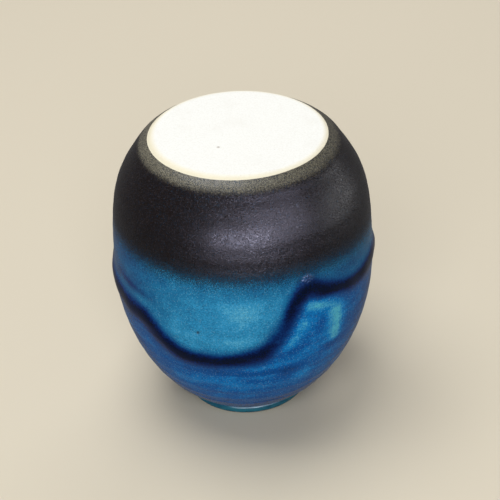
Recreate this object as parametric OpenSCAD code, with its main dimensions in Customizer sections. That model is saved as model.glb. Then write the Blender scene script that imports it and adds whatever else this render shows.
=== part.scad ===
// Wheel-thrown stoneware mug with dipped glazes, turned over on its lip.
// The mouth plane is z = 0, the bare base is on top, and the wheel axis is +Z.
// Millimetres throughout. Azimuth 0 faces -Y and grows towards +X.

/* [Thrown form] */
// Height from the lip to the bare base
total_h = 103; // [98:0.5:110]
// Diameter of the belly over the glaze
belly_d = 90; // [86:1:96]
// Height of the belly's widest ring above the lip
belly_z = 52; // [48:1:56]
// Wall thickness at the belly, both glazes included
wall_t = 4.8; // [4:0.1:6]
// Thickness of the floor, both glazes included
floor_t = 6.5; // [5:0.1:8]
// Diameter where the inside corner meets the flat of the floor
floor_flat_d = 48; // [40:1:54]

/* [Base] */
// Diameter of the flat of the bare base
base_flat_d = 56; // [50:1:60]
// Radius of the wiped edge round the base
base_edge_r = 3; // [2:0.1:4]
// Slope of the trimmed chamfer, down from level, in degrees
chamfer_a = 40; // [35:1:45]
// Length of the glazed chamfer along its slope
chamfer_len = 5.2; // [4:0.1:6]

/* [Lip] */
// Outer diameter of the rolled lip over its glaze
lip_d = 43.8; // [40:0.2:48]
// Radius of the rolled lip's section over its glaze
lip_roll_r = 2; // [1.8:0.1:2.4]
// Depth of the flat that the lip stands on, cut from its round
lip_flat_cut = 0.1; // [0.05:0.01:0.2]

/* [Glaze] */
// Thickness of each glaze coat
glaze_t = 0.5; // [0.3:0.05:0.8]
// Height of the border between the dark coat and the turquoise coat
dark_coat_z = 79; // [76:0.5:84]
// Height that the rolled glaze line stands proud of the coats
roll_proud = 1.1; // [0.5:0.1:1.3]
// Width of the rolled glaze line
roll_w = 6.2; // [4:0.1:7]

/* [Hidden] */
$fn = 96;

// Points along each curved stretch of the section
curve_n = 12;
// Angles of the lip's section where the outer wall and the liner leave it
lip_out_a = 35;
lip_in_a = 180;
// Depth that the rolled line is melted into the coats under it
roll_melt = 0.2;
// Azimuth step along the rolled line, and points across its top
line_step = 4;
roll_n = 8;
// Radius and centre height of the cutter that parts the two blue coats
cut_r = 50;
cut_mid_z = 52;
// Reach of a cutting shape past what it cuts
reach = 1;

// The edge of the second dip: azimuth in degrees, height in millimetres
line_pts = [
    [-62, 51], [-47, 49.8], [-38, 44.6], [-30, 41], [-18, 39.8], [0, 41.6], [9, 44.2],
    [15, 51], [20, 60], [27, 66], [36, 63.2], [46, 61], [58, 59.8], [80, 60], [105, 56],
    [130, 47], [155, 44], [180, 49], [205, 57], [235, 59], [265, 54]
];
line_n = len(line_pts);

lip_c = [lip_d / 2 - lip_roll_r, lip_roll_r - lip_flat_cut];
inner_belly_r = belly_d / 2 - wall_t;

// A point at an angle on a circle about c
function on_circle(c, r, a) = c + r * [cos(a), sin(a)];

// The places on the base edge where the chamfer starts, on the clay and over the glaze
chamfer_dir = [cos(chamfer_a), -sin(chamfer_a)];
chamfer_out = [sin(chamfer_a), cos(chamfer_a)];
edge_c = [base_flat_d / 2, total_h - base_edge_r];
clay_edge = edge_c + base_edge_r * chamfer_out;
glaze_edge = clay_edge + glaze_t * chamfer_out;
shoulder = glaze_edge + chamfer_len * chamfer_dir;

// Cubic curve through p[0] and p[3], steered by p[1] and p[2]
function bez(p, t) =
    pow(1 - t, 3) * p[0] + 3 * t * pow(1 - t, 2) * p[1] + 3 * t * t * (1 - t) * p[2] + pow(t, 3) * p[3];
function curve(p, n = curve_n) = [for (i = [0:n]) bez(p, i / n)];
function tail(list) = [for (i = [1:len(list) - 1]) list[i]];
function back(list) = [for (i = [len(list) - 1:-1:0]) list[i]];

// Unit direction of each stretch of a path, and the path moved to its right by d
function unit(v) = v / norm(v);
function along(path, i) = unit(path[i + 1] - path[i]);
function right_of(v) = [v.y, -v.x];
function moved_point(path, i, d) =
    let(
        n0 = right_of(along(path, max(i - 1, 0))),
        n1 = right_of(along(path, min(i, len(path) - 2))),
        mid = unit(n0 + n1)
    )
    path[i] + mid * d / (mid * n1);
function moved(path, d) = [for (i = [0:len(path) - 1]) moved_point(path, i, d)];

// The finished outside, from the lip's groove up to the glaze edge at the base
groove = on_circle(lip_c, lip_roll_r, lip_out_a);
belly = [belly_d / 2, belly_z];
low_wall = curve([groove, [belly.x * 0.9, belly_z * 0.32], [belly.x, belly_z * 0.8], belly]);
wall_rise = shoulder.y - belly_z;
high_wall = curve([
    belly,
    [belly.x, belly_z + wall_rise * 0.7],
    [shoulder.x + (belly.x - shoulder.x) * 0.77, shoulder.y - wall_rise * 0.26],
    shoulder
]);
outside = concat(low_wall, tail(high_wall), [glaze_edge]);
clay_outside = moved(outside, -glaze_t);

// The finished inside, from the lip up to the middle of the floor
mouth = on_circle(lip_c, lip_roll_r, lip_in_a);
floor_z = total_h - floor_t;
low_inside = curve([
    mouth, [mouth.x, belly_z * 0.11], [inner_belly_r, belly_z * 0.38], [inner_belly_r, belly_z]
]);
inside_rise = floor_z - belly_z;
high_inside = curve([
    [inner_belly_r, belly_z],
    [inner_belly_r, belly_z + inside_rise * 0.63],
    [inner_belly_r * 0.92, floor_z],
    [floor_flat_d / 2, floor_z]
]);
inside = concat(low_inside, tail(high_inside), [[0, floor_z]]);
clay_inside = moved(inside, glaze_t);

// The clay's own rolled lip, and the wiped edge of the base
function lip_arc(r) = [for (i = [0:curve_n]) on_circle(lip_c, r, lip_out_a + (lip_in_a - 360 - lip_out_a) * i / curve_n)];
clay_lip = lip_arc(lip_roll_r - glaze_t);
base_edge = [for (i = [0:curve_n]) on_circle(edge_c, base_edge_r, 90 - chamfer_a * i / curve_n)];

// Height of the glaze line at an azimuth, smooth through line_pts and closed round the mug
function line_pt(i) =
    let(turn = floor(i / line_n))
    line_pts[i - turn * line_n] + [360 * turn, 0];
function line_slope(i) =
    let(d = line_pt(i + 1) - line_pt(i - 1))
    d.y / d.x;
function line_span(a, i = 0) = a < line_pt(i + 1).x ? i : line_span(a, i + 1);
function line_z(a) =
    let(
        i = line_span(a),
        p = line_pt(i),
        q = line_pt(i + 1),
        w = q.x - p.x,
        t = (a - p.x) / w
    )
    p.y * (1 + 2 * t) * pow(1 - t, 2) + q.y * t * t * (3 - 2 * t)
    + w * (line_slope(i) * t * pow(1 - t, 2) - line_slope(i + 1) * t * t * (1 - t));
line_azimuths = [for (a = [line_pts[0].x:line_step:line_pts[0].x + 360 - line_step]) a];

// Radius of the finished outside at a height, and a point at azimuth a
outside_rz = [for (p = outside) [p.y, p.x]];
function outside_r(z) = lookup(z, outside_rz);
function at(a, r, z) = [r * sin(a), -r * cos(a), z];

module spun(points) rotate_extrude() polygon(points);

// One coat of glaze over the whole outside
module outside_skin() spun(concat(outside, back(clay_outside)));

// Everything below the glaze line, as far out as cut_r
module below_line() {
    n = len(line_azimuths);
    ring_z = [
        for (a = line_azimuths) cut_mid_z + (line_z(a) - cut_mid_z) * cut_r / outside_r(line_z(a))
    ];
    rim = [for (i = [0:n - 1]) at(line_azimuths[i], cut_r, ring_z[i])];
    foot = [for (i = [0:n - 1]) at(line_azimuths[i], cut_r, -reach)];
    polyhedron(
        points = concat(rim, foot, [[0, 0, cut_mid_z]]),
        faces = concat(
            [for (i = [0:n - 1]) [2 * n, (i + 1) % n, i]],
            [for (i = [0:n - 1]) [i, (i + 1) % n, n + (i + 1) % n, n + i]],
            [[for (i = [0:n - 1]) n + i]]
        )
    );
}

// Thrown wall and floor in one piece of clay, bare on the base
module clay_body() {
    color("ivory")
        spun(concat(
            [[0, total_h]], base_edge, tail(back(clay_outside)), clay_lip, tail(clay_inside)
        ));
}

// Matte dark coat over the chamfer and the shoulder
module iron_glaze_coat() {
    color([0.17, 0.14, 0.16])
        intersection() {
            outside_skin();
            translate([0, 0, dark_coat_z]) cylinder(r = cut_r, h = total_h);
        }
}

// First blue dip, between the dark coat and the rolled line
module turquoise_glaze_coat() {
    color([0.16, 0.5, 0.65])
        difference() {
            outside_skin();
            translate([0, 0, dark_coat_z]) cylinder(r = cut_r, h = total_h);
            below_line();
        }
}

// Second dip, from the rolled line down to the lip
module cobalt_glaze_coat() {
    color([0.06, 0.32, 0.62])
        intersection() {
            outside_skin();
            below_line();
        }
}

// Thick edge of the second dip, run up into a roll round the mug
module indigo_glaze_roll() {
    n = len(line_azimuths);
    m = 2 * roll_n;
    centres = [for (a = line_azimuths) at(a, outside_r(line_z(a)), line_z(a))];
    function ring_point(i, k) =
        let(
            ahead = unit(centres[(i + 1) % n] - centres[(i + n - 1) % n]),
            a = line_azimuths[i],
            out = at(a, 1, 0),
            across = unit(cross(out, ahead)),
            s = 360 * k / m,
            lift = sin(s) > 0 ? roll_proud : roll_melt,
            p = centres[i] + across * cos(s) * roll_w / 2
        )
        p + out * (outside_r(p.z) - norm([p.x, p.y]) + sin(s) * lift);
    color([0.05, 0.04, 0.2])
        polyhedron(
            points = [for (i = [0:n - 1]) for (k = [0:m - 1]) ring_point(i, k)],
            faces = [
                for (i = [0:n - 1]) for (k = [0:m - 1])
                    let(j = (i + 1) % n, l = (k + 1) % m)
                    for (f = [
                        [i * m + k, i * m + l, j * m + l],
                        [i * m + k, j * m + l, j * m + k]
                    ]) f
            ]
        );
}

// Glaze gathered round the rolled lip, with the narrow flat that the mug stands on
module lip_glaze_bead() {
    color([0.2, 0.6, 0.68])
        intersection() {
            spun(concat(lip_arc(lip_roll_r), back(clay_lip), [clay_outside[0]]));
            cylinder(r = cut_r, h = total_h);
        }
}

// Liner glaze over the whole inside
module liner_glaze_coat() {
    color([0.28, 0.46, 0.52])
        spun(concat(inside, back(clay_inside)));
}

clay_body();
iron_glaze_coat();
turquoise_glaze_coat();
cobalt_glaze_coat();
indigo_glaze_roll();
lip_glaze_bead();
liner_glaze_coat();
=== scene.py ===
"""Looks of a stoneware lather mug that stands turned over on its lip.

The mug is one pot of clay under coats of glaze. Each coat is a closed shell that follows the thrown
wall, so the coats meet edge to edge. Sizes are in millimetres until a mesh is written, in metres.
Azimuth is in degrees, 0 faces -Y and it grows towards +X.
"""

import logging
import math
from dataclasses import dataclass, field
from enum import Enum
from functools import cache, cached_property
from typing import Callable

import bmesh
import bpy
import numpy as np
from mathutils import Matrix, Vector


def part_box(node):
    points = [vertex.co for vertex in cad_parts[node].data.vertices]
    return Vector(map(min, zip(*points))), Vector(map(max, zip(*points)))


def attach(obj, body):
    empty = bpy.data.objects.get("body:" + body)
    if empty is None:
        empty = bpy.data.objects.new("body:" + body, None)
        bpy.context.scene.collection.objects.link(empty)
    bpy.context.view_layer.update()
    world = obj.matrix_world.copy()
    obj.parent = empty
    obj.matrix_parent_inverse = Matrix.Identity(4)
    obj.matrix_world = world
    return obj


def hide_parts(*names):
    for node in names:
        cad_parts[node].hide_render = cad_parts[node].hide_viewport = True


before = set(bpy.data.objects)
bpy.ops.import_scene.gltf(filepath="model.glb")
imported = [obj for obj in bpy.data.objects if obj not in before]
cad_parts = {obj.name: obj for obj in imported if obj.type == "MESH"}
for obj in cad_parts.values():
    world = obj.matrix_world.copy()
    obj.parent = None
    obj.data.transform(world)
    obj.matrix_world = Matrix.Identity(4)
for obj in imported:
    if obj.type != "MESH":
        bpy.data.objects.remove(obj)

LOG = logging.getLogger("mug")
MM = 0.001
# What each coat stores on its vertices for the glaze to read.
PAINTED = ("pooled", "second_dip", "iron_fade", "thin_edge")
# Radii of the plain tube that a coat starts as: its inner side and its outer one.
TUBE_BACK = 1.0
TUBE_FACE = 2.0
Array = np.ndarray
Piece = bpy.types.Object
Tree = bpy.types.NodeTree
Node = bpy.types.Node
Socket = bpy.types.NodeSocket
Material = bpy.types.Material
EdgeRule = Callable[[Array], Array]
Triple = tuple[float, float, float]
Colour = Triple
Stops = tuple[tuple[float, Colour], ...]


# Plane curves and small sums


def bezier(steer: list[tuple[float, float]], count: int) -> Array:
    """Points on a cubic curve.

    Args:
        steer: The two ends and the two steering points, in order.
        count: How many points to give, ends included.

    Returns:
        One row per point: radius, height.
    """
    t = np.linspace(0.0, 1.0, count)[:, None]
    p = np.array(steer, float)
    return (1 - t) ** 3 * p[0] + 3 * t * (1 - t) ** 2 * p[1] + 3 * t * t * (1 - t) * p[2] + t**3 * p[3]


def arc(centre: tuple[float, float], radius: float, start: float, stop: float, count: int) -> Array:
    """Points on a circle in the section plane, between two angles measured up from outwards."""
    a = np.radians(np.linspace(start, stop, count))
    return np.stack([centre[0] + radius * np.cos(a), centre[1] + radius * np.sin(a)], axis=1)


def ease(low: float, high: float, value: Array) -> Array:
    """A smooth step from 0 at low to 1 at high, for low above or below high."""
    t = np.clip((value - low) / (high - low), 0.0, 1.0)
    return t * t * (3 - 2 * t)


def turn_between(a: Array, b: float) -> Array:
    """The signed turn from azimuth b to azimuth a, within half a turn either way."""
    return (a - b + 180.0) % 360.0 - 180.0


@dataclass
class Outline:
    """A line in the section plane, measured along its own length."""

    points: Array

    @cached_property
    def length_at(self) -> Array:
        """Length from the first point to each point."""
        steps = np.linalg.norm(np.diff(self.points, axis=0), axis=1)
        return np.concatenate([[0.0], np.cumsum(steps)])

    @property
    def length(self) -> float:
        """Length of the whole line."""
        return float(self.length_at[-1])

    @cached_property
    def normals(self) -> Array:
        """Unit normals on the line's right-hand side, one per point."""
        along = np.gradient(self.points, self.length_at, axis=0)
        along /= np.linalg.norm(along, axis=1)[:, None]
        return np.stack([along[:, 1], -along[:, 0]], axis=1)

    def place(self, s: Array, lift: Array) -> tuple[Array, Array]:
        """Points at a length along the line and a distance off it.

        Args:
            s: Length along the line.
            lift: Distance to the line's right-hand side.

        Returns:
            Their radii and heights.
        """
        columns = (*self.points.T, *self.normals.T)
        r, z, out_r, out_z = (np.interp(s, self.length_at, column) for column in columns)
        return r + out_r * lift, z + out_z * lift

    def shifted(self, lift: float, count: int) -> Array:
        """Points on the line moved to its right by lift, from its end back to its start."""
        back = np.linspace(self.length, 0.0, count)
        return np.stack(self.place(back, np.full(count, lift)), axis=1)

    def height(self, s: Array) -> Array:
        """Height at a length along the line."""
        return np.interp(s, self.length_at, self.points[:, 1])

    def length_to(self, z: Array) -> Array:
        """Length along the line to a height, where the line only climbs."""
        return np.interp(z, self.points[:, 1], self.length_at)


# The thrown form


@dataclass(frozen=True)
class MugForm:
    """The mug's own sizes, in millimetres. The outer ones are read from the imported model."""

    height: float
    belly_r: float
    lip_r: float
    belly_z: float = 52.0
    wall_t: float = 4.8
    floor_t: float = 6.5
    floor_flat_r: float = 24.0
    base_flat_r: float = 28.0
    base_edge_r: float = 3.0
    chamfer_deg: float = 40.0
    chamfer_len: float = 5.2
    lip_roll_r: float = 2.0
    lip_flat_cut: float = 0.1
    lip_out_deg: float = 35.0
    glaze_t: float = 0.5
    dark_z: float = 79.0
    shoulder_soft: float = 1.2

    @classmethod
    def from_frame(cls) -> "MugForm":
        """Reads the height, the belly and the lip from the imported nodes' boxes."""
        clay_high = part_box("clay_body")[1]
        coat_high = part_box("turquoise_glaze_coat")[1]
        lip_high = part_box("lip_glaze_bead")[1]
        return cls(height=clay_high.z / MM, belly_r=coat_high.x / MM, lip_r=lip_high.x / MM)

    @property
    def lip_centre(self) -> tuple[float, float]:
        """Centre of the rolled lip's section."""
        return self.lip_r - self.lip_roll_r, self.lip_roll_r - self.lip_flat_cut

    @property
    def edge_centre(self) -> tuple[float, float]:
        """Centre of the wiped edge's arc at the base."""
        return self.base_flat_r, self.height - self.base_edge_r

    @property
    def inner_r(self) -> float:
        """Radius of the inside at the belly."""
        return self.belly_r - self.wall_t

    @cached_property
    def outside(self) -> Outline:
        """The finished outside, from the groove over the lip up to the glaze's edge at the base."""
        slope = math.radians(self.chamfer_deg)
        out = np.array([math.sin(slope), math.cos(slope)])
        down = np.array([math.cos(slope), -math.sin(slope)])
        glaze_edge = np.array(self.edge_centre) + (self.base_edge_r + self.glaze_t) * out
        shoulder = glaze_edge + self.chamfer_len * down
        groove = arc(self.lip_centre, self.lip_roll_r, self.lip_out_deg, self.lip_out_deg, 1)[0]
        belly = (self.belly_r, self.belly_z)
        rise = shoulder[1] - self.belly_z
        low = bezier(
            [
                tuple(groove),
                (self.belly_r * 0.9, self.belly_z * 0.32),
                (self.belly_r, self.belly_z * 0.8),
                belly,
            ],
            160,
        )
        high = bezier(
            [
                belly,
                (self.belly_r, self.belly_z + rise * 0.7),
                (shoulder[0] + (self.belly_r - shoulder[0]) * 0.77, shoulder[1] - rise * 0.26),
                tuple(shoulder),
            ],
            160,
        )
        turned = np.vstack([low, high[1:], glaze_edge])
        return Outline(self._softened(Outline(turned)))

    def _softened(self, line: Outline) -> Array:
        """The line with its corner at the shoulder rounded by averaging along its length.

        Args:
            line: The turned outline, with a corner.

        Returns:
            Evenly spaced points, whose ends are the line's own.
        """
        s = np.linspace(0.0, line.length, 700)
        spread = np.linspace(-1.0, 1.0, 9) * self.shoulder_soft
        room = np.minimum(np.minimum(s, line.length - s), self.shoulder_soft) / self.shoulder_soft
        probes = s[:, None] + spread[None, :] * room[:, None]
        r = np.interp(probes, line.length_at, line.points[:, 0]).mean(axis=1)
        z = np.interp(probes, line.length_at, line.points[:, 1]).mean(axis=1)
        return np.stack([r, z], axis=1)

    @cached_property
    def inside(self) -> Outline:
        """The finished inside, from the middle of the floor down to the lip."""
        floor_z = self.height - self.floor_t
        rise = floor_z - self.belly_z
        mouth = (self.lip_r - 2 * self.lip_roll_r, self.lip_centre[1])
        belly = (self.inner_r, self.belly_z)
        low = bezier(
            [mouth, (mouth[0], self.belly_z * 0.11), (self.inner_r, self.belly_z * 0.38), belly],
            90,
        )
        high = bezier(
            [
                belly,
                (self.inner_r, self.belly_z + rise * 0.63),
                (self.inner_r * 0.92, floor_z),
                (self.floor_flat_r, floor_z),
            ],
            70,
        )
        flat = np.stack([np.linspace(self.floor_flat_r, 0.0, 24), np.full(24, floor_z)], axis=1)
        return Outline(np.vstack([low, high[1:], flat[1:]])[::-1])


@dataclass(frozen=True)
class DipLine:
    """The wavy edge of the second dip, where its glaze ran up into a roll."""

    stations: tuple[tuple[float, float], ...] = (
        (-62, 51), (-47, 49.8), (-38, 44.6), (-30, 41), (-18, 39.8), (0, 41.6), (9, 44.2),
        (15, 51), (20, 60), (27, 66), (36, 63.2), (46, 61), (58, 59.8), (80, 60), (105, 56),
        (130, 47), (155, 44), (180, 49), (205, 57), (235, 59), (265, 54),
    )
    samples: int = 1440

    @cached_property
    def table(self) -> tuple[Array, Array]:
        """Azimuths round the mug and the line's height at each."""
        pts = np.array(self.stations, float)
        turns = np.vstack([pts[-2:] - [360, 0], pts, pts[:3] + [360, 0]])
        a, z = turns[:, 0], turns[:, 1]
        slope = np.zeros(len(a))
        slope[1:-1] = (z[2:] - z[:-2]) / (a[2:] - a[:-2])
        az = np.linspace(pts[0, 0], pts[0, 0] + 360, self.samples, endpoint=False)
        i = np.searchsorted(a, az, side="right") - 1
        w = a[i + 1] - a[i]
        t = (az - a[i]) / w
        height = z[i] * (1 + 2 * t) * (1 - t) ** 2 + z[i + 1] * t * t * (3 - 2 * t)
        return az, height + w * (slope[i] * t * (1 - t) ** 2 - slope[i + 1] * t * t * (1 - t))

    def height(self, azimuth: Array) -> Array:
        """The line's height at each azimuth."""
        az, z = self.table
        return np.interp((azimuth - az[0]) % 360 + az[0], az, z, period=360)

    def steepness(self, azimuth: Array, radius: float) -> Array:
        """How steep the line runs.

        Args:
            azimuth: Azimuths in degrees.
            radius: Radius of the wall in millimetres.

        Returns:
            The line's length over its run round the mug, 1 where it is level.
        """
        step = 0.5
        rise = self.height(azimuth + step) - self.height(azimuth - step)
        return np.hypot(1.0, rise / (2 * math.radians(step) * radius))


# How the glaze lies


@dataclass(frozen=True)
class Pool:
    """A soft patch where the glaze gathered, or ran thin where the amount is below 0. Two pale patches on
    the right lobe paint a highlight streak instead.

    The patch reaches half_turn degrees and half_tall millimetres from its middle, and leans by lean
    millimetres per degree.
    """

    azimuth: float
    height: float
    half_turn: float
    half_tall: float
    amount: float
    lean: float = 0.0

    def weigh(self, azimuth: Array, height: Array) -> Array:
        """The change in depth that the patch makes.

        Args:
            azimuth: Azimuths in degrees.
            height: Heights in millimetres.

        Returns:
            Changes in depth, one for each place.
        """
        turn = turn_between(azimuth, self.azimuth)
        rise = height - self.height - self.lean * turn
        return self.amount * np.exp(-((turn / self.half_turn) ** 2) - (rise / self.half_tall) ** 2)


FRONT_POOLS_AND_HIGHLIGHT = (
    Pool(-58, 59.5, 13, 1.5, 0.20, -0.05),
    Pool(-52, 56.0, 9, 1.5, -0.14),
    Pool(-46, 62.0, 11, 9.0, 0.05),
    Pool(-43, 46.0, 7, 3.4, 0.22, -0.3),
    Pool(-2, 60.0, 11, 6.5, -0.16),
    Pool(-26, 50.0, 11, 4.5, -0.08),
    Pool(-4, 49.0, 10, 3.5, -0.12),
    Pool(-22, 45.0, 5, 2.5, -0.08),
    Pool(-15, 67.5, 26, 2.4, 0.06),
    Pool(20, 71.0, 22, 4.0, 0.12),
    Pool(50, 66.0, 16, 3.6, 0.16),
    Pool(24, 54.0, 4.5, 4.5, -0.22, 0.6),
    Pool(31, 58.5, 7, 2.4, -0.26, -0.2),
    Pool(27, 55.5, 4, 1.6, 0.10, 0.2),
    Pool(20, 46.5, 5, 2.6, -0.16, 0.5),
    # Painted highlight: these two pale, narrow patches paint a streak of reflected light down the right
    # lobe.
    Pool(43.5, 50.0, 4.4, 8.0, -0.26, -0.2),
    Pool(43, 43.0, 3.0, 4.2, -0.24),
    Pool(33, 51.0, 14, 9.0, -0.12),
    Pool(35, 50.0, 3, 5.0, 0.12, 0.3),
    Pool(25, 44.0, 8, 3.2, 0.14, 0.35),
    Pool(43, 37.8, 5, 1.2, 0.14),
    Pool(19, 30.5, 5, 3.6, 0.18, 0.1),
    Pool(31, 41.0, 10, 2.6, -0.04),
    Pool(6, 33.0, 16, 1.2, 0.10),
    Pool(-22, 33.5, 12, 2.4, 0.08),
    Pool(-14, 28.5, 14, 1.1, -0.07),
    Pool(-6, 36.2, 14, 1.2, -0.05),
    Pool(28, 27.0, 9, 3.4, -0.08),
)
BACK_POOLS = (
    Pool(92, 50.0, 10, 7.0, -0.18, -0.3),
    Pool(112, 41.0, 10, 6.0, -0.18, -0.4),
    Pool(128, 34.0, 16, 3.0, 0.14),
    Pool(150, 62.0, 22, 5.0, -0.12),
    Pool(168, 36.0, 9, 7.0, -0.16, 0.2),
    Pool(190, 44.0, 12, 4.0, 0.12, 0.4),
    Pool(206, 46.0, 10, 5.5, -0.16, 0.3),
    Pool(228, 66.0, 18, 3.0, 0.10),
    Pool(240, 46.0, 14, 6.0, -0.16),
    Pool(262, 30.0, 18, 3.0, 0.10),
    Pool(280, 40.0, 10, 5.0, -0.14),
)


@dataclass(frozen=True)
class GlazeField:
    """How the glaze lies, in millimetres and degrees."""

    form: MugForm
    line: DipLine = field(default_factory=DipLine)
    pools_and_highlight: tuple[Pool, ...] = FRONT_POOLS_AND_HIGHLIGHT + BACK_POOLS
    roll_proud: float = 0.95
    roll_half: float = 3.2
    roll_above: float = 3.2
    roll_below: float = 3.9
    gap_reach: float = 9.0
    gap_chunk: int = 8000


@dataclass
class LaidGlaze:
    """The glaze at many places on the outside: its thickness, relief and darkness."""

    rules: GlazeField
    azimuth: Array
    s: Array

    @cached_property
    def height(self) -> Array:
        """Heights of the places."""
        return self.rules.form.outside.height(self.s)

    @cached_property
    def gap(self) -> Array:
        """Signed distance from the dip line along the wall, positive above it, cut off far away."""
        rules = self.rules
        az, z = rules.line.table
        flat = math.radians(1.0) * rules.form.belly_r
        above = self.height - rules.line.height(self.azimuth)
        result = np.sign(above) * rules.gap_reach
        count = len(above)
        for chunk in np.array_split(np.arange(count), max(1, count // rules.gap_chunk)):
            run = turn_between(az[None, ::3], 0.0) - turn_between(self.azimuth[chunk, None], 0.0)
            run = turn_between(run, 0.0) * flat
            rise = z[None, ::3] - self.height[chunk, None]
            closest = np.sqrt((run * run + rise * rise).min(axis=1))
            result[chunk] = np.sign(above[chunk]) * np.minimum(closest, rules.gap_reach)
        return result

    def _wave(self, turns: float, start: float = 0.0) -> Array:
        """A sine that runs so many times round the mug, from a start in degrees."""
        return np.sin(np.radians(self.azimuth * turns + start))

    def _bell(self, middle: float, half: float) -> Array:
        """1 at an azimuth, falling to 0.37 at half degrees on either side of it."""
        return np.exp(-((turn_between(self.azimuth, middle) / half) ** 2))

    def _side(self, middle: float, outer: float, inner: float) -> Array:
        """1 within inner degrees of an azimuth, 0 beyond outer degrees."""
        return ease(outer, inner, np.abs(turn_between(self.azimuth, middle)))

    @cached_property
    def line_mask(self) -> Array:
        """How much of the indigo line shows, with a tighter edge above than below."""
        wide = 1.0 + 0.22 * self._bell(28.0, 7.0) - 0.24 * self._bell(16.0, 6.0)
        wide = wide + 0.16 * self._bell(-42.0, 12.0) - 0.12 * self._side(96.0, 60.0, 40.0)
        wide = wide + 0.07 * self._wave(5, 20) + 0.05 * self._wave(11)
        short = 1.0 - 0.38 * self._bell(38.0, 12.0)
        pale = 1.0 - 0.32 * self._bell(14.5, 4.0)
        above = np.clip(self.gap, 0, None) / (self.rules.roll_above * wide)
        below = np.clip(-self.gap, 0, None) / (self.rules.roll_below * wide * short)
        return pale * np.exp(-(above**2.6)) * np.exp(-(below**2.0))

    @property
    def relief(self) -> Array:
        """Millimetres that the glaze stands over the nominal outside."""
        rules = self.rules
        proud = rules.roll_proud * (0.72 + 0.28 * self._wave(3, 6) ** 2)
        proud = proud + 0.06 * self._wave(17) + 0.05 * self._wave(29, 40)
        over = self.gap / np.where(self.gap > 0, rules.roll_above, rules.roll_below * 1.25)
        return proud * np.exp(-(np.abs(over) ** 2.2)) + self.throwing

    @property
    def throwing(self) -> Array:
        """The soft spiral ridges that the fingers left, strongest towards the lip."""
        low = ease(46.0, 12.0, self.height)
        spiral = self.azimuth / 360.0
        coarse = np.sin(2 * np.pi * (self.height / 5.2 + spiral)) * (0.02 + 0.045 * low)
        fine = np.sin(2 * np.pi * (self.height / 2.1 + spiral) + 1.3) * 0.016 * low
        lean = 0.12 * self._wave(1, 20) * ease(20.0, 60.0, self.height) - 0.12
        return coarse + fine + lean

    @property
    def pooled(self) -> Array:
        """Depth of the blue glaze: 0 thin and pale, 1 thick and almost black. A painted highlight streak on
        the right lobe comes in as thin glaze.
        """
        depth = 0.36 - 0.05 * self._wave(2, 100)
        for pool in self.rules.pools_and_highlight:
            depth = depth + pool.weigh(self.azimuth, self.height)
        depth = depth + 0.16 * self._side(-96.0, 66.0, 34.0) * ease(46.0, 60.0, self.height)
        depth = depth + 0.12 * ease(22.0, 13.0, self.height) - 0.16 * ease(9.0, 2.0, self.height)
        return np.clip(depth, 0.02, 0.8) * (1 - self.line_mask) + self.line_mask

    @property
    def second_dip(self) -> Array:
        """Share of the second dip: 1 below its line, 0 above."""
        return ease(1.2, -1.6, self.gap)

    @property
    def iron_fade(self) -> Array:
        """Share of the dark coat: 1 on the shoulder, 0 in the blue."""
        middle = 73.2 + 0.8 * self._wave(1, 150) + 0.5 * self._wave(3)
        return ease(-8.5, 5.5, self.height - middle)

    @property
    def thin_edge(self) -> Array:
        """Share of thin, greenish glaze over the chamfer at the base."""
        form = self.rules.form
        # The share is largest towards -X and smallest towards +X, so the chamfer is paler towards -X.
        share = 0.80 + 0.20 * self._wave(1, 170)
        from_end = form.outside.length - self.s
        return share * ease(form.chamfer_len + 2.2, form.chamfer_len - 2.6, from_end)


# Meshes


def mesh_object(name: str, shape: bmesh.types.BMesh) -> Piece:
    """Puts a finished bmesh in the scene as a smooth-shaded piece.

    Args:
        name: The piece's name.
        shape: The mesh, which is freed.

    Returns:
        The new object, at the origin.
    """
    mesh = bpy.data.meshes.new(name)
    shape.to_mesh(mesh)
    shape.free()
    mesh.shade_smooth()
    piece = bpy.data.objects.new(name, mesh)
    bpy.context.scene.collection.objects.link(piece)
    return piece


def spun(section: Array, steps: int, closed: bool) -> bmesh.types.BMesh:
    """Turns a section right round the Z axis.

    An eighth of the turn is spun and then doubled three times, which is far quicker than one spin.

    Args:
        section: One row per point: radius, height.
        steps: How many steps make the full turn, a multiple of eight.
        closed: True where the section is a loop, False where it starts and ends on the axis.

    Returns:
        The turned bmesh, welded where its parts and its poles meet.
    """
    shape = bmesh.new()
    verts = [shape.verts.new((r, 0.0, z)) for r, z in section]
    edges = [shape.edges.new(pair) for pair in zip(verts, verts[1:])]
    if closed:
        edges.append(shape.edges.new((verts[-1], verts[0])))
    bmesh.ops.spin(
        shape, geom=verts + edges, cent=(0, 0, 0), axis=(0, 0, 1), angle=math.pi / 4, steps=steps // 8,
        use_merge=False, use_duplicate=False,
    )
    for turned in (1, 2, 4):
        whole = shape.verts[:] + shape.edges[:] + shape.faces[:]
        twin = bmesh.ops.duplicate(shape, geom=whole)["geom"]
        corners = [part for part in twin if isinstance(part, bmesh.types.BMVert)]
        turn = Matrix.Rotation(turned * math.pi / 4, 3, "Z")
        bmesh.ops.rotate(shape, verts=corners, cent=(0, 0, 0), matrix=turn)
    bmesh.ops.remove_doubles(shape, verts=shape.verts, dist=2e-6)
    return shape


def moved(piece: Piece, rule: Callable[[Array], Array]) -> None:
    """Moves every vertex of a piece by a rule.

    Args:
        piece: The piece to change.
        rule: Takes the vertices, one row each, and gives their new places.
    """
    mesh = piece.data
    flat = np.empty(len(mesh.vertices) * 3, np.float32)
    mesh.vertices.foreach_get("co", flat)
    placed = rule(flat.reshape(-1, 3).astype(float))
    mesh.vertices.foreach_set("co", placed.astype(np.float32).ravel())
    mesh.update()


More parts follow.
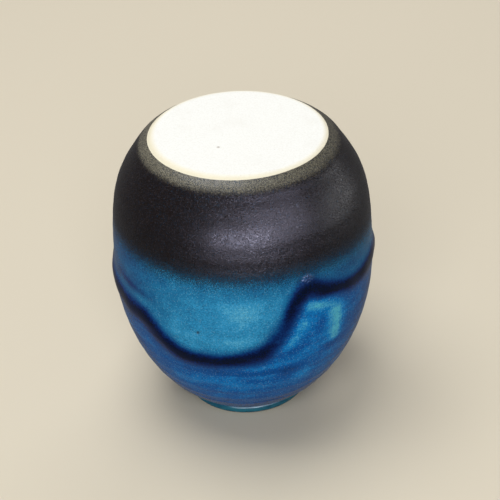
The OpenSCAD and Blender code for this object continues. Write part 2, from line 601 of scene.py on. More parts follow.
def outward(piece: Piece, crease_deg: float = 50.0) -> None:
    """Turns a closed piece's faces outwards and keeps its corners crisp.

    Args:
        piece: The piece to finish.
        crease_deg: Edges that turn by more than this stay sharp.
    """
    shape = bmesh.new()
    shape.from_mesh(piece.data)
    bmesh.ops.recalc_face_normals(shape, faces=shape.faces)
    if shape.calc_volume(signed=True) < 0:
        bmesh.ops.reverse_faces(shape, faces=shape.faces)
    limit = math.radians(crease_deg)
    for edge in shape.edges:
        edge.smooth = edge.calc_face_angle(0.0) < limit
    shape.to_mesh(piece.data)
    shape.free()


def at_azimuth(azimuth: Array, radius: Array, height: Array) -> Array:
    """Places in metres, one row each, from azimuths in degrees and millimetres."""
    a = np.radians(azimuth)
    return np.stack([radius * np.sin(a), -radius * np.cos(a), height], axis=1) * MM


def azimuth_of(places: Array) -> Array:
    """Azimuths in degrees of places in any unit."""
    return np.degrees(np.arctan2(places[:, 0], -places[:, 1]))


@dataclass
class GlazeCoat:
    """One coat of glaze on the outside: a closed shell between two edges that run round the mug.

    The shell starts as a plain turned tube whose radius tells its side and whose height tells how
    far it is from the lower edge to the upper one, and is then laid on the thrown wall.
    """

    node: str
    slot: str
    glaze: GlazeField
    lower: EdgeRule
    upper: EdgeRule
    rows: int
    steps: int = 640
    back_rows: int = 4
    sink: float = 0.3
    top_thin: float = 0.0
    top_left: float = 0.03
    blue_sheen: bool = False
    laid: LaidGlaze | None = None

    def build(self) -> Piece:
        """Builds the shell and stores the glaze's state on it.

        Returns:
            The finished piece.
        """
        face = [(TUBE_FACE, share) for share in np.linspace(0, 1, self.rows + 1)]
        back = [(TUBE_BACK, share) for share in np.linspace(1, 0, self.back_rows + 1)]
        piece = mesh_object(self.node + "_skin", spun(np.array(face + back), self.steps, closed=True))
        moved(piece, self._laid)
        for name in PAINTED:
            layer = piece.data.attributes.new(name, "FLOAT", "POINT")
            layer.data.foreach_set("value", getattr(self.laid, name).astype(np.float32))
        outward(piece)
        return piece

    def _laid(self, tube: Array) -> Array:
        """Lays the turned tube on the wall, and keeps the glaze's state there.

        Args:
            tube: The tube's vertices.

        Returns:
            The vertices in place, in metres.
        """
        form = self.glaze.form
        azimuth = azimuth_of(tube)
        low, high = self.lower(azimuth), self.upper(azimuth)
        s = low + (high - low) * tube[:, 2]
        self.laid = LaidGlaze(self.glaze, azimuth, s)
        lift = self.laid.relief
        if self.top_thin:
            left = np.clip((high - s) / self.top_thin, 0.0, 1.0)
            lift = lift - (form.glaze_t - self.top_left) * (1 - left) ** 1.2
        front = np.hypot(tube[:, 0], tube[:, 1]) > (TUBE_BACK + TUBE_FACE) / 2
        lift = np.where(front, lift, -form.glaze_t - self.sink)
        radius, height = form.outside.place(s, lift)
        return at_azimuth(azimuth, radius, height)


def outside_coats(glaze: GlazeField) -> list[GlazeCoat]:
    """The coats of the outside, from the base down to the lip.

    Args:
        glaze: How the glaze lies.

    Returns:
        Coats whose edges meet.
    """
    form = glaze.form
    outside = form.outside
    dark_s = float(outside.length_to(np.array(form.dark_z)))

    def rolled(sign: float) -> EdgeRule:
        """The upper (+1) or lower (-1) edge of the roll, as a length along the outside."""
        def edge(azimuth: Array) -> Array:
            """The edge's length along the outside at each azimuth."""
            half = glaze.roll_half * glaze.line.steepness(azimuth, form.belly_r)
            return outside.length_to(glaze.line.height(azimuth) + sign * half)
        return edge

    def level(s: float) -> EdgeRule:
        """An edge that runs level round the mug."""
        return lambda azimuth: np.full(len(azimuth), s)

    top = level(outside.length)
    dark = level(dark_s)
    return [
        GlazeCoat("iron_glaze_coat", "iron_glaze", glaze, dark, top, 64, top_thin=2.8),
        GlazeCoat("turquoise_glaze_coat", "turquoise_glaze", glaze, rolled(1), dark, 72),
        GlazeCoat("indigo_glaze_roll", "indigo_glaze", glaze, rolled(-1), rolled(1), 22, blue_sheen=True),
        GlazeCoat("cobalt_glaze_coat", "cobalt_glaze", glaze, level(0.0), rolled(-1), 110, blue_sheen=True),
    ]


@dataclass
class ClayBody:
    """The thrown wall and floor in one piece of clay, bare on the base."""

    form: MugForm
    steps: int = 512

    def section(self) -> Array:
        """The section from the middle of the base, down the wall, round the lip and up inside.

        Returns:
            One row per point: radius, height.
        """
        form = self.form
        flat_r = np.linspace(0.0, form.base_flat_r, 44)[:-1]
        flat = np.stack([flat_r, np.full(len(flat_r), form.height)], axis=1)
        edge = arc(form.edge_centre, form.base_edge_r, 90.0, 90.0 - form.chamfer_deg, 14)
        outer = form.outside.shifted(-form.glaze_t, 34)
        lip = arc(form.lip_centre, form.lip_roll_r - form.glaze_t, form.lip_out_deg, -180.0, 16)
        inner = form.inside.shifted(-form.glaze_t, 34)
        inner[-1, 0] = 0.0
        return np.vstack([flat, edge, outer[1:], lip, inner[1:]])

    def build(self) -> Piece:
        """Builds the clay with the trimming tool's faint turns on its base.

        Returns:
            The finished piece.
        """
        piece = mesh_object("clay_body_thrown", spun(self.section() * MM, self.steps, closed=False))
        moved(piece, self._trimmed)
        outward(piece)
        return piece

    def _trimmed(self, places: Array) -> Array:
        """Sinks the base a little along a spiral, as the trimming tool leaves it.

        Args:
            places: The vertices in metres.

        Returns:
            The vertices in metres.
        """
        radius = np.hypot(places[:, 0], places[:, 1]) / MM
        on_base = ease(1.2, 0.0, self.form.height - places[:, 2] / MM)
        spiral = np.sin(2 * np.pi * (radius / 2.6 - azimuth_of(places) / 360.0))
        sunk = (0.025 * (1 + spiral) + 0.10 * ease(26.0, 8.0, radius)) * on_base
        return places - np.stack([0 * sunk, 0 * sunk, sunk], axis=1) * MM


@dataclass
class LipBead:
    """Glaze gathered round the rolled lip, which the mug stands on."""

    form: MugForm
    steps: int = 512
    sink: float = 0.2

    def build(self) -> Piece:
        """Builds the bead with the narrow flat that it stands on.

        Returns:
            The finished piece.
        """
        form = self.form
        face = arc(form.lip_centre, form.lip_roll_r, form.lip_out_deg, -180.0, 40)
        face[:, 1] = np.maximum(face[:, 1], 0.0)
        back_r = form.lip_roll_r - form.glaze_t - self.sink
        back = arc(form.lip_centre, back_r, -180.0, form.lip_out_deg + 12, 12)
        section = np.vstack([face, back]) * MM
        piece = mesh_object("lip_glaze_bead_ring", spun(section, self.steps, closed=True))
        outward(piece)
        return piece


@dataclass
class LinerCoat:
    """The glaze poured round the inside."""

    form: MugForm
    steps: int = 400
    rows: int = 110
    ring_deep: float = 0.12
    ring_pitch: float = 7.0
    sink: float = 0.2

    def build(self) -> Piece:
        """Builds the liner with the inside's throwing rings.

        Returns:
            The finished piece.
        """
        line = self.form.inside
        s = np.linspace(0.0, line.length, self.rows)
        fade = ease(4.0, 16.0, s) * ease(line.length, line.length - 9.0, s)
        rings = self.ring_deep * np.sin(s * 2 * np.pi / self.ring_pitch) * fade
        face = np.stack(line.place(s, rings), axis=1)
        back = line.shifted(-self.form.glaze_t - self.sink, 24)
        face[0, 0] = back[-1, 0] = 0.0
        section = np.vstack([face, back]) * MM
        piece = mesh_object("liner_glaze_skin", spun(section, self.steps, closed=False))
        outward(piece)
        return piece


# Shader building


def linear(colour: Colour) -> tuple[float, float, float, float]:
    """A screen colour, 0 to 255 a channel, as the linear colour that a shader reads."""
    parts = [c / 255 for c in colour]
    lin = [p / 12.92 if p <= 0.04045 else ((p + 0.055) / 1.055) ** 2.4 for p in parts]
    return lin[0], lin[1], lin[2], 1.0


class Sum(Enum):
    """The sums that the materials use."""

    ADD = "ADD"
    SUBTRACT = "SUBTRACT"
    MULTIPLY = "MULTIPLY"
    LESS = "LESS_THAN"


class Grain(Enum):
    """The materials' noises: grains per millimetre round the mug and up it, detail, seed."""

    CLOUD = (0.16, 0.22, 3.0, 1.0)
    MOTTLE = (1.5, 1.8, 2.0, 2.0)
    FINE = (2.1, 2.1, 2.0, 3.0)
    RINGS = (0.04, 0.34, 2.0, 4.0)
    RUNS = (1.3, 0.16, 2.0, 5.0)
    GRIT = (3.2, 3.2, 1.0, 6.0)
    CLAY_GRAIN = (1.8, 1.8, 3.0, 11.0)
    CLAY_CLOUD = (0.12, 0.12, 3.0, 12.0)
    POURED_RINGS = (0.06, 0.9, 3.0, 21.0)
    POURED_CLOUD = (0.25, 0.25, 3.0, 22.0)
    POURED_FINE = (2.2, 2.2, 1.0, 23.0)


class Specks(Enum):
    """The materials' specks: cells per millimetre, share of cells filled, width in cells."""

    CRYSTALS = (2.2, 0.34, 0.45)
    GLINTS = (2.6, 0.2, 0.5)
    SAND = (1.7, 0.6, 0.6)
    FINE_SAND = (2.6, 0.7, 0.6)
    POLISH = (2.0, 0.3, 0.6)
    FINE_POLISH = (2.9, 0.3, 0.6)
    CLAY = (0.35, 0.12, 0.12)


@dataclass
class Sheet:
    """A node tree with short ways to add nodes and join them."""

    tree: Tree

    def node(self, kind: str, **settings: object) -> Node:
        """Adds a node.

        Args:
            kind: The node's type name.
            settings: Its properties by name.

        Returns:
            The new node.
        """
        made = self.tree.nodes.new(kind)
        for name, value in settings.items():
            setattr(made, name, value)
        return made

    def feed(self, target: Socket, value: object) -> None:
        """Joins a socket to an input, or sets the input to a value.

        Args:
            target: The input.
            value: A socket, or what the input is set to.
        """
        if isinstance(value, Socket):
            self.tree.links.new(value, target)
        else:
            target.default_value = value

    def sum(self, kind: Sum, a: object, b: object, clamp: bool = False) -> Socket:
        """One sum of two values.

        Args:
            kind: Which sum.
            a: The first value or socket.
            b: The second value or socket.
            clamp: Holds the answer between 0 and 1.

        Returns:
            The answer.
        """
        made = self.node("ShaderNodeMath", operation=kind.value, use_clamp=clamp)
        self.feed(made.inputs[0], a)
        self.feed(made.inputs[1], b)
        return made.outputs[0]

    def plus(self, a: object, b: object, clamp: bool = False) -> Socket:
        """Two values added, and held between 0 and 1 where clamp is set."""
        return self.sum(Sum.ADD, a, b, clamp)

    def times(self, a: object, b: object) -> Socket:
        """One value multiplied by another."""
        return self.sum(Sum.MULTIPLY, a, b)

    def sway(self, noise: Socket, weight: object) -> Socket:
        """Noise moved to average 0, times a weight."""
        return self.times(self.sum(Sum.SUBTRACT, noise, 0.5), weight)

    def scaled(
        self, value: object, low: object, high: float, to_low: float = 0.0, to_high: float = 1.0
    ) -> Socket:
        """A value eased from one range to another, and held at its ends.

        Args:
            value: The value or socket.
            low: Where its own range starts.
            high: Where its own range ends.
            to_low: What it becomes at low.
            to_high: What it becomes at high.

        Returns:
            The eased value.
        """
        made = self.node("ShaderNodeMapRange", interpolation_type="SMOOTHSTEP", clamp=True)
        for i, v in enumerate((value, low, high, to_low, to_high)):
            self.feed(made.inputs[i], v)
        return made.outputs[0]

    def mix(self, share: object, a: object, b: object) -> Socket:
        """Colour a turned into colour b by a share.

        Args:
            share: The share, 0 to 1.
            a: The colour at 0, a socket or a screen colour.
            b: The colour at 1, likewise.

        Returns:
            The mixed colour.
        """
        made = self.node("ShaderNodeMix", data_type="RGBA", clamp_factor=True)
        self.feed(made.inputs[0], share)
        for target, side in zip(made.inputs[6:8], (a, b)):
            self.feed(target, linear(side) if isinstance(side, tuple) else side)
        return made.outputs[2]

    def ramp(self, value: object, stops: Stops) -> Socket:
        """A colour read along a row of stops.

        Args:
            value: Where to read, 0 to 1.
            stops: Places and their screen colours.

        Returns:
            The colour.
        """
        made = self.node("ShaderNodeValToRGB")
        band = made.color_ramp
        while len(band.elements) < len(stops):
            band.elements.new(0.5)
        for element, (place, colour) in zip(band.elements, stops):
            element.position = place
            element.color = linear(colour)
        self.feed(made.inputs[0], value)
        return made.outputs[0]

    def places(self) -> Socket:
        """Places on the piece, in metres."""
        return self.node("ShaderNodeTexCoord").outputs["Object"]

    def near(self, place: Socket, spot: Triple, outer: float, inner: float, share: float) -> Socket:
        """A soft round patch.

        Args:
            place: Places on the piece, in metres.
            spot: The patch's middle, in millimetres.
            outer: Distance from the middle where the patch starts, in millimetres.
            inner: Distance from the middle where it is full.
            share: Its value where it is full.

        Returns:
            The patch's value, 0 outside it.
        """
        gap = self.node("ShaderNodeVectorMath", operation="DISTANCE")
        self.feed(gap.inputs[0], place)
        gap.inputs[1].default_value = [side * MM for side in spot]
        return self.scaled(gap.outputs["Value"], outer * MM, inner * MM, 0.0, share)

    def painted(self, name: str) -> Socket:
        """A value stored on the piece's vertices."""
        return self.node("ShaderNodeAttribute", attribute_name=name).outputs["Fac"]

    def group(self, tree: Tree, **values: object) -> Node:
        """Places a node group.

        Args:
            tree: The group.
            values: Its inputs by name, with an underscore for each space.

        Returns:
            The group's node.
        """
        made = self.node("ShaderNodeGroup", node_tree=tree)
        for name, value in values.items():
            self.feed(made.inputs[name.replace("_", " ")], value)
        return made

    def noise(self, grain: Grain) -> Socket:
        """Noise from the shared grain, about 0.5 on average."""
        around, up, detail, seed = grain.value
        return self.group(grain_group(), Around=around, Up=up, Detail=detail, Seed=seed).outputs[0]

    def spots(self, kind: Specks) -> Socket:
        """Specks from the shared group, 1 in the middle of each."""
        per_mm, share, size = kind.value
        return self.group(specks_group(), Per_Mm=per_mm, Share=share, Size=size).outputs[0]


def new_group(
    name: str, inputs: dict[str, float], outputs: dict[str, str]
) -> tuple[Sheet, dict[str, Socket], Node]:
    """Starts a shader node group.

    Args:
        name: The group's name.
        inputs: Number inputs and their defaults.
        outputs: Outputs and their kinds, Float or Color.

    Returns:
        Its sheet, its input values by name, and its output node.
    """
    tree = bpy.data.node_groups.new(name, "ShaderNodeTree")
    for label, default in inputs.items():
        entry = tree.interface.new_socket(label, in_out="INPUT", socket_type="NodeSocketFloat")
        entry.default_value = default
    for label, kind in outputs.items():
        tree.interface.new_socket(label, in_out="OUTPUT", socket_type=f"NodeSocket{kind}")
    sheet = Sheet(tree)
    entry = sheet.node("NodeGroupInput")
    return sheet, {label: entry.outputs[label] for label in inputs}, sheet.node("NodeGroupOutput")


@cache
def grain_group() -> Tree:
    """Noise with one grain round the mug and another up it, in grains per millimetre."""
    inputs = {"Around": 1.0, "Up": 1.0, "Detail": 2.0, "Seed": 0.0}
    sheet, given, out = new_group("glaze_grain", inputs, {"Value": "Float"})
    scale = sheet.node("ShaderNodeCombineXYZ")
    for axis, label in enumerate(("Around", "Around", "Up")):
        sheet.feed(scale.inputs[axis], sheet.times(given[label], 1 / MM))
    spread = sheet.node("ShaderNodeVectorMath", operation="MULTIPLY")
    sheet.feed(spread.inputs[0], sheet.places())
    sheet.feed(spread.inputs[1], scale.outputs[0])
    noise = sheet.node("ShaderNodeTexNoise", noise_dimensions="4D")
    sheet.feed(noise.inputs["Vector"], spread.outputs[0])
    sheet.feed(noise.inputs["W"], given["Seed"])
    sheet.feed(noise.inputs["Scale"], 1.0)
    sheet.feed(noise.inputs["Detail"], given["Detail"])
    sheet.feed(out.inputs["Value"], noise.outputs[0])
    return sheet.tree


@cache
def specks_group() -> Tree:
    """Scattered round specks: Per Mm sets how close, Share how many, Size how wide in cells."""
    inputs = {"Per Mm": 1.0, "Share": 0.2, "Size": 0.3}
    sheet, given, out = new_group("specks", inputs, {"Mask": "Float"})
    cells = sheet.node("ShaderNodeTexVoronoi", feature="F1")
    sheet.feed(cells.inputs["Vector"], sheet.places())
    sheet.feed(cells.inputs["Scale"], sheet.times(given["Per Mm"], 1 / MM))
    parts = sheet.node("ShaderNodeSeparateColor")
    sheet.feed(parts.inputs[0], cells.outputs["Color"])
    chosen = sheet.sum(Sum.LESS, parts.outputs[0], given["Share"])
    rim = sheet.scaled(cells.outputs["Distance"], given["Size"], 0.0)
    sheet.feed(out.inputs["Mask"], sheet.times(chosen, rim))
    return sheet.tree


# Finishes


@dataclass(frozen=True)
class DippedGlaze:
    """Colours and gloss of the dark coat and the two blue dips, which melt into each other."""

    first_dip: Stops = (
        (0.0, (112, 194, 222)), (0.2, (46, 150, 202)), (0.36, (27, 118, 168)), (0.55, (12, 84, 138)),
        (0.75, (2, 44, 106)), (0.9, (0, 15, 64)), (1.0, (0, 4, 36)),
    )
    second_dip: Stops = (
        (0.0, (84, 188, 218)), (0.2, (4, 130, 208)), (0.36, (0, 86, 164)), (0.55, (0, 64, 132)),
        (0.75, (0, 36, 98)), (0.9, (0, 14, 62)), (1.0, (0, 4, 36)),
    )
    iron: Colour = (18, 10, 7)
    iron_pale: Colour = (42, 34, 33)
    veil: Colour = (8, 38, 58)
    # Painted glints: colour of the pale sparkle specks painted on the dark coat.
    glint: Colour = (84, 78, 90)
    pinhole: Triple = (-15.7, -42.5, 51.3)
    blistered: Triple = (20.0, -37.6, 69.0)
    edge: Colour = (124, 120, 104)
    edge_dark: Colour = (52, 47, 40)
    crystal: Colour = (150, 208, 218)
    iron_rough: float = 0.3
    grain_rough: float = 0.08
    blue_rough: float = 0.16
    specular: float = 0.35
    sand_high: tuple[float, float] = (0.003, 0.05)
    ridge_high: float = 0.04
    blister_high: float = 0.75
    pinhole_deep: float = 0.3
    iron_sheen: Triple = (0.8, 0.86, 1.0)
    blue_sheen: Triple = (0.45, 0.7, 1.0)

    def material(self, name: str, tree: Tree, sheen: Triple) -> Material:
        """One coat's material around the shared glaze group.

        Args:
            name: The material's name.
            tree: The group that this finish made.
            sheen: Triple of what the coat reflects.

        Returns:
            The material.
        """
        material, sheet, shader = new_material(name)
        skin = sheet.group(tree, **{name.title(): sheet.painted(name) for name in PAINTED})
        sheet.feed(shader.inputs["Base Color"], skin.outputs["Color"])
        sheet.feed(shader.inputs["Roughness"], skin.outputs["Roughness"])
        shader.inputs["Specular IOR Level"].default_value = self.specular
        shader.inputs["Specular Tint"].default_value = (*sheen, 1.0)
        bump(sheet, shader, skin.outputs["Height"])
        return material


class DippedSkin:
    """Builds the group that gives the dipped glaze's colour, roughness and surface height."""

    def __init__(self, look: DippedGlaze) -> None:
        """Starts the group and its shared noises.

        Args:
            look: The glaze's colours and gloss.
        """
        painted = {name.replace("_", " ").title(): 0.0 for name in PAINTED}
        outputs = {"Color": "Color", "Roughness": "Float", "Height": "Float"}
        self.look = look
        self.sheet, self.given, self.out = new_group("dipped_glaze", painted, outputs)
        self.mottle = self.sheet.noise(Grain.MOTTLE)
        self.grit = self.sheet.noise(Grain.GRIT)
        self.rings = self.sheet.noise(Grain.RINGS)

    def build(self) -> Tree:
        """Joins the blue dips, the dark coat and the relief.

        Returns:
            The group, which takes the painted values.
        """
        sheet, look, out = self.sheet, self.look, self.out
        pinhole = sheet.near(sheet.places(), look.pinhole, 1.0, 0.4, 0.9)
        fading = sheet.plus(self.given["Iron Fade"], sheet.sway(self.grit, 1.6))
        iron_share = sheet.scaled(fading, 0.25, 0.95)
        blue = sheet.mix(pinhole, self._blue(), look.iron)
        blue = sheet.mix(sheet.scaled(fading, 0.0, 0.55, 0.0, 0.75), blue, look.veil)
        sheet.feed(out.inputs["Color"], sheet.mix(iron_share, blue, self._iron()))
        sheet.feed(out.inputs["Roughness"], self._gloss(iron_share))
        sand = sheet.plus(sheet.spots(Specks.SAND), sheet.spots(Specks.FINE_SAND))
        sand = sheet.times(sand, sheet.scaled(iron_share, 0.0, 1.0, *look.sand_high))
        ridges = sheet.times(self.rings, sheet.times(self.given["Second Dip"], look.ridge_high))
        rough_spot = sheet.near(sheet.places(), look.blistered, 3.6, 1.8, look.blister_high)
        blisters = sheet.times(self.mottle, rough_spot)
        skin = sheet.plus(sheet.plus(sand, ridges), blisters)
        sunk = sheet.times(pinhole, look.pinhole_deep)
        sheet.feed(out.inputs["Height"], sheet.sum(Sum.SUBTRACT, skin, sunk))
        return sheet.tree

    def _blue(self) -> Socket:
        """Colour of the two blue dips, with pale crystals where the glaze is thin."""
        sheet, pooled, dip = self.sheet, self.given["Pooled"], self.given["Second Dip"]
        cloud = sheet.noise(Grain.CLOUD)
        runs = sheet.noise(Grain.RUNS)
        ring_weight = sheet.scaled(dip, 0.0, 1.0, 0.12, 0.36)
        depth = pooled
        for noise, weight in ((cloud, 0.28), (self.mottle, 0.42), (runs, 0.10)):
            depth = sheet.plus(depth, sheet.sway(noise, weight))
        depth = sheet.plus(depth, sheet.sway(self.rings, ring_weight), clamp=True)
        first, second = (sheet.ramp(depth, row) for row in (self.look.first_dip, self.look.second_dip))
        crystals = sheet.times(sheet.spots(Specks.CRYSTALS), sheet.scaled(pooled, 0.7, 0.3, 0.0, 0.5))
        return sheet.mix(crystals, sheet.mix(dip, first, second), self.look.crystal)

    def _iron(self) -> Socket:
        """Colour of the dark coat with painted glints, worn thin and greenish over the chamfer."""
        sheet, look = self.sheet, self.look
        fine = sheet.noise(Grain.FINE)
        iron = sheet.mix(sheet.scaled(fine, 0.5, 0.72), look.iron, look.iron_pale)
        # Painted glints: pale specks in the colour stand for light sparkling off the dark glaze.
        iron = sheet.mix(sheet.times(sheet.spots(Specks.GLINTS), 0.45), iron, look.glint)
        worn = sheet.mix(sheet.scaled(self.grit, 0.36, 0.64), look.edge_dark, look.edge)
        wear = sheet.plus(self.given["Thin Edge"], sheet.sway(self.mottle, 1.0))
        return sheet.mix(sheet.scaled(wear, 0.15, 0.95), iron, worn)

    def _gloss(self, iron_share: Socket) -> Socket:
        """Roughness, even on the blue and with polished grains on the dark coat.

        Args:
            iron_share: Share of the dark coat.

        Returns:
            The roughness.
        """
        sheet, look = self.sheet, self.look
        polished = sheet.plus(sheet.spots(Specks.POLISH), sheet.spots(Specks.FINE_POLISH), clamp=True)
        grainy = sheet.scaled(polished, 0.0, 0.8, look.iron_rough, look.grain_rough)
        gloss = sheet.node("ShaderNodeMix", data_type="FLOAT")
        sockets = gloss.inputs[:1] + gloss.inputs[2:4]
        for socket, value in zip(sockets, (iron_share, look.blue_rough, grainy)):
            sheet.feed(socket, value)
        return sheet.plus(gloss.outputs[0], sheet.times(self.mottle, 0.06))


def new_material(name: str) -> tuple[Material, Sheet, Node]:
    """Starts a material.

    Args:
        name: The material's name.

    Returns:
        The material, its sheet and its Principled shader.
    """
    material = bpy.data.materials.new(name)
    material.use_nodes = True
    shader = material.node_tree.nodes["Principled BSDF"]
    return material, Sheet(material.node_tree), shader


def bump(sheet: Sheet, shader: Node, height: Socket) -> None:
    """Lets a height in millimetres stand out of a shader's surface."""
    made = sheet.node("ShaderNodeBump")
    made.inputs["Distance"].default_value = MM
    sheet.feed(made.inputs["Height"], height)
    sheet.feed(shader.inputs["Normal"], made.outputs[0])


@dataclass(frozen=True)
class BareClay:
    """The wiped, unglazed base: pale, dry and faintly grained, with a creamy band of painted shade on its
    rounded rim next to the glaze.
    """

    pale: Colour = (229, 229, 224)
    grainy: Colour = (218, 216, 208)
    # Painted shade: the creamy colour of the rounded rim, where it turns away from the light above.
    painted_rim_shade: Colour = (224, 212, 172)
    iron_speck: Colour = (120, 96, 72)
    speck_place: Triple = (-6.8, -10.0, 0.0)
    rim_shade_wide: float = 2.4
    rough: tuple[float, float] = (0.82, 0.94)
    grain_high: float = 0.05

    def material(self, form: MugForm) -> Material:
        """The clay's material.

        Args:
            form: The mug's sizes, for the edge of the base.

        Returns:
            The material.
        """
        material, sheet, shader = new_material("bare_clay")
        grain = sheet.noise(Grain.CLAY_GRAIN)
        cloud = sheet.noise(Grain.CLAY_CLOUD)
        flat = sheet.node("ShaderNodeVectorMath", operation="MULTIPLY")
        sheet.feed(flat.inputs[0], sheet.places())
        flat.inputs[1].default_value = (1.0, 1.0, 0.0)
        radius = sheet.node("ShaderNodeVectorMath", operation="LENGTH")
        sheet.feed(radius.inputs[0], flat.outputs[0])
        clay = sheet.mix(sheet.scaled(grain, 0.4, 0.75, 0.0, 0.6), self.pale, self.grainy)
        clay = sheet.mix(sheet.scaled(cloud, 0.45, 0.8, 0.0, 0.35), clay, self.grainy)
        rim = form.base_flat_r + form.base_edge_r * math.sin(math.radians(form.chamfer_deg))
        # Painted shade: a creamy band round the rounded rim of the base, where the edge turns away from the
        # light above.
        rim_shade_mask = sheet.scaled(radius.outputs["Value"], (rim - self.rim_shade_wide) * MM, rim * MM, 0.0, 0.6)
        clay = sheet.mix(rim_shade_mask, clay, self.painted_rim_shade)
        speck = sheet.near(flat.outputs[0], self.speck_place, 0.8, 0.2, 0.55)
        few = sheet.spots(Specks.CLAY)
        speck = sheet.plus(speck, sheet.times(few, 0.5), clamp=True)
        sheet.feed(shader.inputs["Base Color"], sheet.mix(speck, clay, self.iron_speck))
        sheet.feed(shader.inputs["Roughness"], sheet.scaled(grain, 0.3, 0.7, *self.rough))
        bump(sheet, shader, sheet.times(grain, self.grain_high))
        return material


@dataclass(frozen=True)
class PlainGlaze:
    """A glossy single coat: the lip's bead or the liner."""

    name: str
    thin: Colour
    deep: Colour
    roughness: float
    specular: float = 0.3

    def material(self) -> Material:
        """The coat's material.

        Returns:
            The material.
        """
        material, sheet, shader = new_material(self.name)
        rings = sheet.noise(Grain.POURED_RINGS)
        cloud = sheet.noise(Grain.POURED_CLOUD)
        fine = sheet.noise(Grain.POURED_FINE)
        share = sheet.plus(sheet.times(rings, 0.6), sheet.times(cloud, 0.4))
        colour = sheet.mix(sheet.scaled(share, 0.36, 0.66), self.thin, self.deep)
        sheet.feed(shader.inputs["Base Color"], colour)
        rough = sheet.scaled(fine, 0.3, 0.7, self.roughness, self.roughness + 0.08)
        sheet.feed(shader.inputs["Roughness"], rough)
        shader.inputs["Specular IOR Level"].default_value = self.specular
        bump(sheet, shader, sheet.times(sheet.plus(fine, rings), 0.015))
        return material


# Studio


class Reach(Enum):
    """What a light acts on."""

    ALL = "all"
    FILL = "fill"
    SHEEN = "sheen"


@dataclass(frozen=True)
class Softbox:
    """One soft area light. Place and sizes are in metres, power in watts."""

    name: str
    place: Triple
    width: float
    height: float
    power: float
    colour: Triple = (1.0, 1.0, 1.0)
    reach: Reach = Reach.ALL

    def build(self, aim: Vector) -> None:
        """Hangs the light.

        Args:
            aim: The point that it faces.
        """
        light = bpy.data.lights.new(self.name, "AREA")
        light.shape = "RECTANGLE"
        light.size, light.size_y = self.width, self.height
        light.energy = self.power
        light.color = self.colour
        lamp = bpy.data.objects.new(self.name, light)
        lamp.location = self.place
        lamp.rotation_euler = (aim - Vector(self.place)).to_track_quat("-Z", "Y").to_euler()
        lamp.visible_camera = False
        lamp.visible_diffuse = self.reach is not Reach.SHEEN
        lamp.visible_glossy = self.reach is not Reach.FILL
        bpy.context.scene.collection.objects.link(lamp)


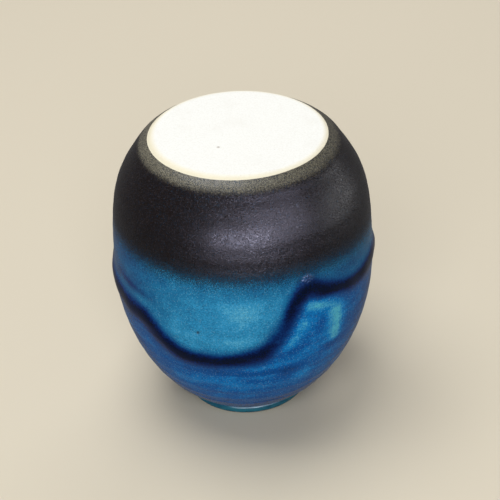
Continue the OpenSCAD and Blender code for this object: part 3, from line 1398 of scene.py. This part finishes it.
@dataclass
class Studio:
    """A pale floor, soft light and the camera."""

    form: MugForm
    eye: Triple = (0.0025, -0.4851, 0.3740)
    pitch_deg: float = 33.28
    roll_deg: float = -1.84
    lens: float = 119.8
    floor_half: float = 3.0
    floor_colour: Colour = (206, 197, 178)
    sky: Triple = (1.0, 0.97, 0.94)
    sky_strength: float = 0.16
    lights: tuple[Softbox, ...] = (
        Softbox("overhead", (-0.25, 0.10, 1.20), 0.8, 0.8, 10.5),
        Softbox("front_fill", (-0.10, -1.00, 0.80), 0.8, 0.6, 9.2, (0.96, 0.98, 1.0), Reach.FILL),
        Softbox("back_fill", (0.30, 1.05, 0.70), 0.8, 0.6, 4.5, (0.98, 0.98, 1.0), Reach.FILL),
        Softbox("front_window", (0.62, -0.98, 0.46), 1.2, 0.58, 12.0, (0.97, 0.88, 1.0), Reach.SHEEN),
        Softbox("front_pane", (-0.02, -1.18, 0.24), 1.1, 0.32, 14.5, (0.95, 0.87, 1.0), Reach.SHEEN),
        Softbox("right_screen", (0.62, 0.04, 0.13), 0.5, 0.24, 0.9, (1.0, 0.97, 0.92), Reach.SHEEN),
    )

    def build(self) -> None:
        """Builds the floor, the lights, the sky and the camera."""
        self._floor()
        for light in self.lights:
            light.build(Vector((0.0, 0.0, self.form.height * MM / 2)))
        world = bpy.data.worlds.new("soft_sky")
        world.use_nodes = True
        background = world.node_tree.nodes["Background"]
        background.inputs[0].default_value = (*self.sky, 1.0)
        background.inputs[1].default_value = self.sky_strength
        bpy.context.scene.world = world
        self._camera()

    def _floor(self) -> None:
        """Lays the pale floor that the lip stands on."""
        shape = bmesh.new()
        bmesh.ops.create_grid(shape, x_segments=1, y_segments=1, size=self.floor_half)
        floor = mesh_object("studio_floor", shape)
        material, _, shader = new_material("floor_paper")
        shader.inputs["Base Color"].default_value = linear(self.floor_colour)
        shader.inputs["Roughness"].default_value = 0.9
        shader.inputs["Specular IOR Level"].default_value = 0.0
        floor.data.materials.append(material)
        floor.visible_glossy = False

    def _camera(self) -> None:
        """Places the camera a little to the right of the axis, looking down at the mug."""
        lens = bpy.data.cameras.new("camera")
        lens.lens = self.lens
        lens.sensor_width = 36.0
        lens.clip_start = 0.01
        camera = bpy.data.objects.new("camera", lens)
        turn = Matrix.Rotation(math.radians(90 - self.pitch_deg), 4, "X")
        tilt = Matrix.Rotation(math.radians(self.roll_deg), 4, "Z")
        camera.matrix_world = Matrix.Translation(self.eye) @ turn @ tilt
        bpy.context.scene.collection.objects.link(camera)
        bpy.context.scene.camera = camera


# Assembly


def take_place(piece: Piece, node: str, material: Material) -> None:
    """Gives a piece its finish and lets it stand for its node.

    Args:
        piece: The finished piece.
        node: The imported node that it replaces.
        material: The piece's finish.
    """
    piece.data.materials.append(material)
    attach(piece, "root")
    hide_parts(node)
    LOG.info("%s: %d vertices, %d faces", piece.name, len(piece.data.vertices), len(piece.data.polygons))


def main() -> None:
    """Builds the mug's coats, its clay and the studio."""
    logging.basicConfig(level=logging.INFO, format="%(name)s: %(message)s")
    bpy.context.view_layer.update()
    form = MugForm.from_frame()
    glaze = GlazeField(form)
    dipped = DippedGlaze()
    skin = DippedSkin(dipped).build()
    for coat in outside_coats(glaze):
        sheen = dipped.blue_sheen if coat.blue_sheen else dipped.iron_sheen
        take_place(coat.build(), coat.node, dipped.material(coat.slot, skin, sheen))
    lip = PlainGlaze("lip_glaze", (40, 116, 136), (18, 84, 112), 0.16)
    liner = PlainGlaze("liner_glaze", (112, 160, 168), (60, 112, 132), 0.14)
    take_place(LipBead(form).build(), "lip_glaze_bead", lip.material())
    take_place(LinerCoat(form).build(), "liner_glaze_coat", liner.material())
    take_place(ClayBody(form).build(), "clay_body", BareClay().material(form))
    Studio(form).build()
    bpy.context.scene.view_settings.view_transform = "Standard"


if __name__ == "__main__":
    main()
